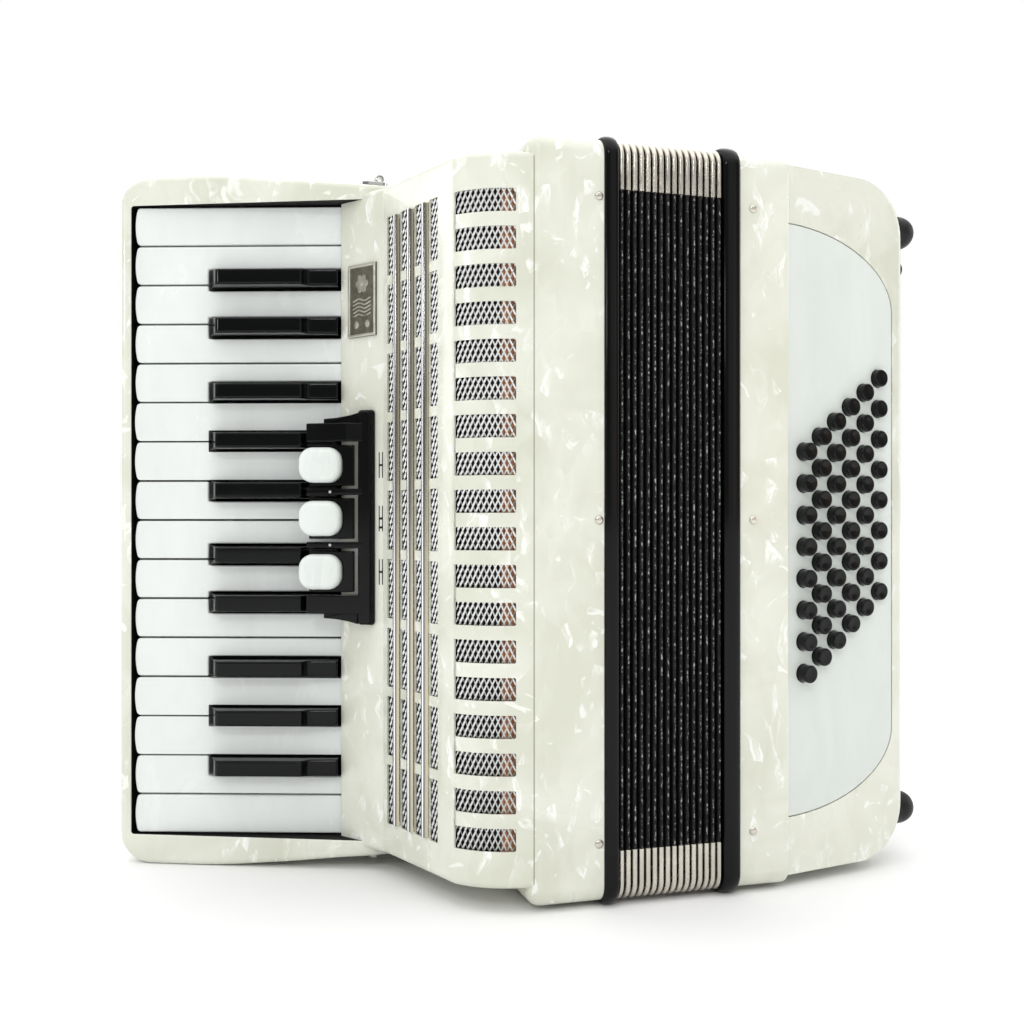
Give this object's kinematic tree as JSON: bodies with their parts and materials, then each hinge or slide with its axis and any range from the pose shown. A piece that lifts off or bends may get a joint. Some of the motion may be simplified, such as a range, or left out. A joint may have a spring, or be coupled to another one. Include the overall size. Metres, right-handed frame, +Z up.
{
  "type": "piano accordion",
  "caption": "Piano accordion in pearloid with a piano keyboard, slotted grille, register switches, folded bellows and a slanted board of bass buttons with a hand strap.",
  "frame": {"origin": "middle of the instrument's box at its standing face, the lower ends of the bellows frames and keyboard body", "axes": "+Z up along the keyboard, from the high notes to the low notes; +X from the keyboard to the bass end, the way the bellows open; -Y out of the grille side"},
  "size_m": [0.3887, 0.174, 0.333],
  "materials": {
    "pearloid": "cream pearloid celluloid, polished",
    "black_gloss": "polished black",
    "chrome": "polished",
    "pewter": "antiqued, embossed",
    "key_white": "polished white",
    "key_black": "polished black",
    "cap_white": "polished white",
    "board_white": "satin white",
    "button_black": "polished black",
    "wood": "plain spruce",
    "steel": "ground",
    "bellows_cloth": "black leatherette over folded card",
    "rubber": "matt",
    "strap_leather": "black leather"
  },
  "bodies": {
    "treble_side": {"treble_casing": "pearloid", "treble_soundboard": "wood", "treble_reed_blocks": "wood", "treble_bellows_frame": "black_gloss", "treble_casing_screws": "chrome", "grille_cover": "pearloid", "grille_mesh": "chrome", "grille_bars": "chrome", "badge_plate": "pewter", "register_housing": "black_gloss", "keyboard_body": "pearloid", "key_rod": "steel", "strap_brackets": "chrome", "bellows": "bellows_cloth"},
    "bass_side": {"bass_bellows_frame": "black_gloss", "bass_casing": "pearloid", "bass_casing_screws": "chrome", "bass_soundboard": "wood", "bass_reed_blocks": "wood", "bass_cover": "pearloid", "button_board": "board_white", "rubber_feet": "rubber", "hand_strap": "strap_leather"},
    "white_key_01": {"white_key_01": "key_white"},
    "white_key_02": {"white_key_02": "key_white"},
    "white_key_03": {"white_key_03": "key_white"},
    "white_key_04": {"white_key_04": "key_white"},
    "white_key_05": {"white_key_05": "key_white"},
    "white_key_06": {"white_key_06": "key_white"},
    "white_key_07": {"white_key_07": "key_white"},
    "white_key_08": {"white_key_08": "key_white"},
    "white_key_09": {"white_key_09": "key_white"},
    "white_key_10": {"white_key_10": "key_white"},
    "white_key_11": {"white_key_11": "key_white"},
    "white_key_12": {"white_key_12": "key_white"},
    "white_key_13": {"white_key_13": "key_white"},
    "white_key_14": {"white_key_14": "key_white"},
    "white_key_15": {"white_key_15": "key_white"},
    "white_key_16": {"white_key_16": "key_white"},
    "black_key_01": {"black_key_01": "key_black"},
    "black_key_02": {"black_key_02": "key_black"},
    "black_key_03": {"black_key_03": "key_black"},
    "black_key_04": {"black_key_04": "key_black"},
    "black_key_05": {"black_key_05": "key_black"},
    "black_key_06": {"black_key_06": "key_black"},
    "black_key_07": {"black_key_07": "key_black"},
    "black_key_08": {"black_key_08": "key_black"},
    "black_key_09": {"black_key_09": "key_black"},
    "black_key_10": {"black_key_10": "key_black"},
    "register_switch_1": {"register_switch_1": "cap_white"},
    "register_switch_2": {"register_switch_2": "cap_white"},
    "register_switch_3": {"register_switch_3": "cap_white"},
    "bass_row_1": {"bass_row_1": "button_black"},
    "bass_row_2": {"bass_row_2": "button_black"},
    "bass_row_3": {"bass_row_3": "button_black"},
    "bass_row_4": {"bass_row_4": "button_black"},
    "bass_row_5": {"bass_row_5": "button_black"},
    "bass_row_6": {"bass_row_6": "button_black"},
    "air_button": {"air_button": "button_black"},
    "strap_wheel": {"strap_wheel": "steel"}
  },
  "joints": [
    {"name": "bellows_open", "type": "slide", "parent": "treble_side", "child": "bass_side", "axis": [1, 0, 0], "range_m": [0, 0.28], "deforming": ["bellows"]},
    {"name": "white_key_01_press", "type": "hinge", "parent": "treble_side", "child": "white_key_01", "pos_m": [-0.07746, 0.01868, 0.1665], "axis": [0, 0, -1], "range_deg": [0, 2.1], "stiffness_Nm_per_rad": 1, "springref_deg": -5.16},
    {"name": "white_key_02_press", "type": "hinge", "parent": "treble_side", "child": "white_key_02", "pos_m": [-0.07746, 0.01868, 0.1665], "axis": [0, 0, -1], "range_deg": [0, 2.1], "stiffness_Nm_per_rad": 1, "springref_deg": -5.16},
    {"name": "white_key_03_press", "type": "hinge", "parent": "treble_side", "child": "white_key_03", "pos_m": [-0.07746, 0.01868, 0.1665], "axis": [0, 0, -1], "range_deg": [0, 2.1], "stiffness_Nm_per_rad": 1, "springref_deg": -5.16},
    {"name": "white_key_04_press", "type": "hinge", "parent": "treble_side", "child": "white_key_04", "pos_m": [-0.07746, 0.01868, 0.1665], "axis": [0, 0, -1], "range_deg": [0, 2.1], "stiffness_Nm_per_rad": 1, "springref_deg": -5.16},
    {"name": "white_key_05_press", "type": "hinge", "parent": "treble_side", "child": "white_key_05", "pos_m": [-0.07746, 0.01868, 0.1665], "axis": [0, 0, -1], "range_deg": [0, 2.1], "stiffness_Nm_per_rad": 1, "springref_deg": -5.16},
    {"name": "white_key_06_press", "type": "hinge", "parent": "treble_side", "child": "white_key_06", "pos_m": [-0.07746, 0.01868, 0.1665], "axis": [0, 0, -1], "range_deg": [0, 2.1], "stiffness_Nm_per_rad": 1, "springref_deg": -5.16},
    {"name": "white_key_07_press", "type": "hinge", "parent": "treble_side", "child": "white_key_07", "pos_m": [-0.07746, 0.01868, 0.1665], "axis": [0, 0, -1], "range_deg": [0, 2.1], "stiffness_Nm_per_rad": 1, "springref_deg": -5.16},
    {"name": "white_key_08_press", "type": "hinge", "parent": "treble_side", "child": "white_key_08", "pos_m": [-0.07746, 0.01868, 0.1665], "axis": [0, 0, -1], "range_deg": [0, 2.1], "stiffness_Nm_per_rad": 1, "springref_deg": -5.16},
    {"name": "white_key_09_press", "type": "hinge", "parent": "treble_side", "child": "white_key_09", "pos_m": [-0.07746, 0.01868, 0.1665], "axis": [0, 0, -1], "range_deg": [0, 2.1], "stiffness_Nm_per_rad": 1, "springref_deg": -5.16},
    {"name": "white_key_10_press", "type": "hinge", "parent": "treble_side", "child": "white_key_10", "pos_m": [-0.07746, 0.01868, 0.1665], "axis": [0, 0, -1], "range_deg": [0, 2.1], "stiffness_Nm_per_rad": 1, "springref_deg": -5.16},
    {"name": "white_key_11_press", "type": "hinge", "parent": "treble_side", "child": "white_key_11", "pos_m": [-0.07746, 0.01868, 0.1665], "axis": [0, 0, -1], "range_deg": [0, 2.1], "stiffness_Nm_per_rad": 1, "springref_deg": -5.16},
    {"name": "white_key_12_press", "type": "hinge", "parent": "treble_side", "child": "white_key_12", "pos_m": [-0.07746, 0.01868, 0.1665], "axis": [0, 0, -1], "range_deg": [0, 2.1], "stiffness_Nm_per_rad": 1, "springref_deg": -5.16},
    {"name": "white_key_13_press", "type": "hinge", "parent": "treble_side", "child": "white_key_13", "pos_m": [-0.07746, 0.01868, 0.1665], "axis": [0, 0, -1], "range_deg": [0, 2.1], "stiffness_Nm_per_rad": 1, "springref_deg": -5.16},
    {"name": "white_key_14_press", "type": "hinge", "parent": "treble_side", "child": "white_key_14", "pos_m": [-0.07746, 0.01868, 0.1665], "axis": [0, 0, -1], "range_deg": [0, 2.1], "stiffness_Nm_per_rad": 1, "springref_deg": -5.16},
    {"name": "white_key_15_press", "type": "hinge", "parent": "treble_side", "child": "white_key_15", "pos_m": [-0.07746, 0.01868, 0.1665], "axis": [0, 0, -1], "range_deg": [0, 2.1], "stiffness_Nm_per_rad": 1, "springref_deg": -5.16},
    {"name": "white_key_16_press", "type": "hinge", "parent": "treble_side", "child": "white_key_16", "pos_m": [-0.07746, 0.01868, 0.1665], "axis": [0, 0, -1], "range_deg": [0, 2.1], "stiffness_Nm_per_rad": 1, "springref_deg": -5.16},
    {"name": "black_key_01_press", "type": "hinge", "parent": "treble_side", "child": "black_key_01", "pos_m": [-0.07746, 0.01868, 0.1665], "axis": [0, 0, -1], "range_deg": [0, 2.1], "stiffness_Nm_per_rad": 1, "springref_deg": -5.16},
    {"name": "black_key_02_press", "type": "hinge", "parent": "treble_side", "child": "black_key_02", "pos_m": [-0.07746, 0.01868, 0.1665], "axis": [0, 0, -1], "range_deg": [0, 2.1], "stiffness_Nm_per_rad": 1, "springref_deg": -5.16},
    {"name": "black_key_03_press", "type": "hinge", "parent": "treble_side", "child": "black_key_03", "pos_m": [-0.07746, 0.01868, 0.1665], "axis": [0, 0, -1], "range_deg": [0, 2.1], "stiffness_Nm_per_rad": 1, "springref_deg": -5.16},
    {"name": "black_key_04_press", "type": "hinge", "parent": "treble_side", "child": "black_key_04", "pos_m": [-0.07746, 0.01868, 0.1665], "axis": [0, 0, -1], "range_deg": [0, 2.1], "stiffness_Nm_per_rad": 1, "springref_deg": -5.16},
    {"name": "black_key_05_press", "type": "hinge", "parent": "treble_side", "child": "black_key_05", "pos_m": [-0.07746, 0.01868, 0.1665], "axis": [0, 0, -1], "range_deg": [0, 2.1], "stiffness_Nm_per_rad": 1, "springref_deg": -5.16},
    {"name": "black_key_06_press", "type": "hinge", "parent": "treble_side", "child": "black_key_06", "pos_m": [-0.07746, 0.01868, 0.1665], "axis": [0, 0, -1], "range_deg": [0, 2.1], "stiffness_Nm_per_rad": 1, "springref_deg": -5.16},
    {"name": "black_key_07_press", "type": "hinge", "parent": "treble_side", "child": "black_key_07", "pos_m": [-0.07746, 0.01868, 0.1665], "axis": [0, 0, -1], "range_deg": [0, 2.1], "stiffness_Nm_per_rad": 1, "springref_deg": -5.16},
    {"name": "black_key_08_press", "type": "hinge", "parent": "treble_side", "child": "black_key_08", "pos_m": [-0.07746, 0.01868, 0.1665], "axis": [0, 0, -1], "range_deg": [0, 2.1], "stiffness_Nm_per_rad": 1, "springref_deg": -5.16},
    {"name": "black_key_09_press", "type": "hinge", "parent": "treble_side", "child": "black_key_09", "pos_m": [-0.07746, 0.01868, 0.1665], "axis": [0, 0, -1], "range_deg": [0, 2.1], "stiffness_Nm_per_rad": 1, "springref_deg": -5.16},
    {"name": "black_key_10_press", "type": "hinge", "parent": "treble_side", "child": "black_key_10", "pos_m": [-0.07746, 0.01868, 0.1665], "axis": [0, 0, -1], "range_deg": [0, 2.1], "stiffness_Nm_per_rad": 1, "springref_deg": -5.16},
    {"name": "register_switch_1_press", "type": "hinge", "parent": "treble_side", "child": "register_switch_1", "pos_m": [-0.09044, 0.00193, 0.1922], "axis": [0, 0, -1], "range_deg": [0, 5]},
    {"name": "register_switch_2_press", "type": "hinge", "parent": "treble_side", "child": "register_switch_2", "pos_m": [-0.09044, 0.00193, 0.1672], "axis": [0, 0, -1], "range_deg": [0, 5]},
    {"name": "register_switch_3_press", "type": "hinge", "parent": "treble_side", "child": "register_switch_3", "pos_m": [-0.09044, 0.00193, 0.1422], "axis": [0, 0, -1], "range_deg": [0, 5]},
    {"name": "bass_row_1_press", "type": "slide", "parent": "bass_side", "child": "bass_row_1", "axis": [-0.2113, 0.9774, 0], "range_m": [0, 0.003], "stiffness_N_per_m": 300, "springref_m": -0.003},
    {"name": "bass_row_2_press", "type": "slide", "parent": "bass_side", "child": "bass_row_2", "axis": [-0.2113, 0.9774, 0], "range_m": [0, 0.003], "stiffness_N_per_m": 300, "springref_m": -0.003},
    {"name": "bass_row_3_press", "type": "slide", "parent": "bass_side", "child": "bass_row_3", "axis": [-0.2113, 0.9774, 0], "range_m": [0, 0.003], "stiffness_N_per_m": 300, "springref_m": -0.003},
    {"name": "bass_row_4_press", "type": "slide", "parent": "bass_side", "child": "bass_row_4", "axis": [-0.2113, 0.9774, 0], "range_m": [0, 0.003], "stiffness_N_per_m": 300, "springref_m": -0.003},
    {"name": "bass_row_5_press", "type": "slide", "parent": "bass_side", "child": "bass_row_5", "axis": [-0.2113, 0.9774, 0], "range_m": [0, 0.003], "stiffness_N_per_m": 300, "springref_m": -0.003},
    {"name": "bass_row_6_press", "type": "slide", "parent": "bass_side", "child": "bass_row_6", "axis": [-0.2113, 0.9774, 0], "range_m": [0, 0.003], "stiffness_N_per_m": 300, "springref_m": -0.003},
    {"name": "air_button_press", "type": "slide", "parent": "bass_side", "child": "air_button", "axis": [-1, 0, 0], "range_m": [0, 0.004], "stiffness_N_per_m": 400, "springref_m": -0.004},
    {"name": "strap_wheel_turn", "type": "hinge", "parent": "bass_side", "child": "strap_wheel", "pos_m": [0.16246, 0.011, 0.287], "axis": [0, 0, 1], "continuous": true}
  ]
}
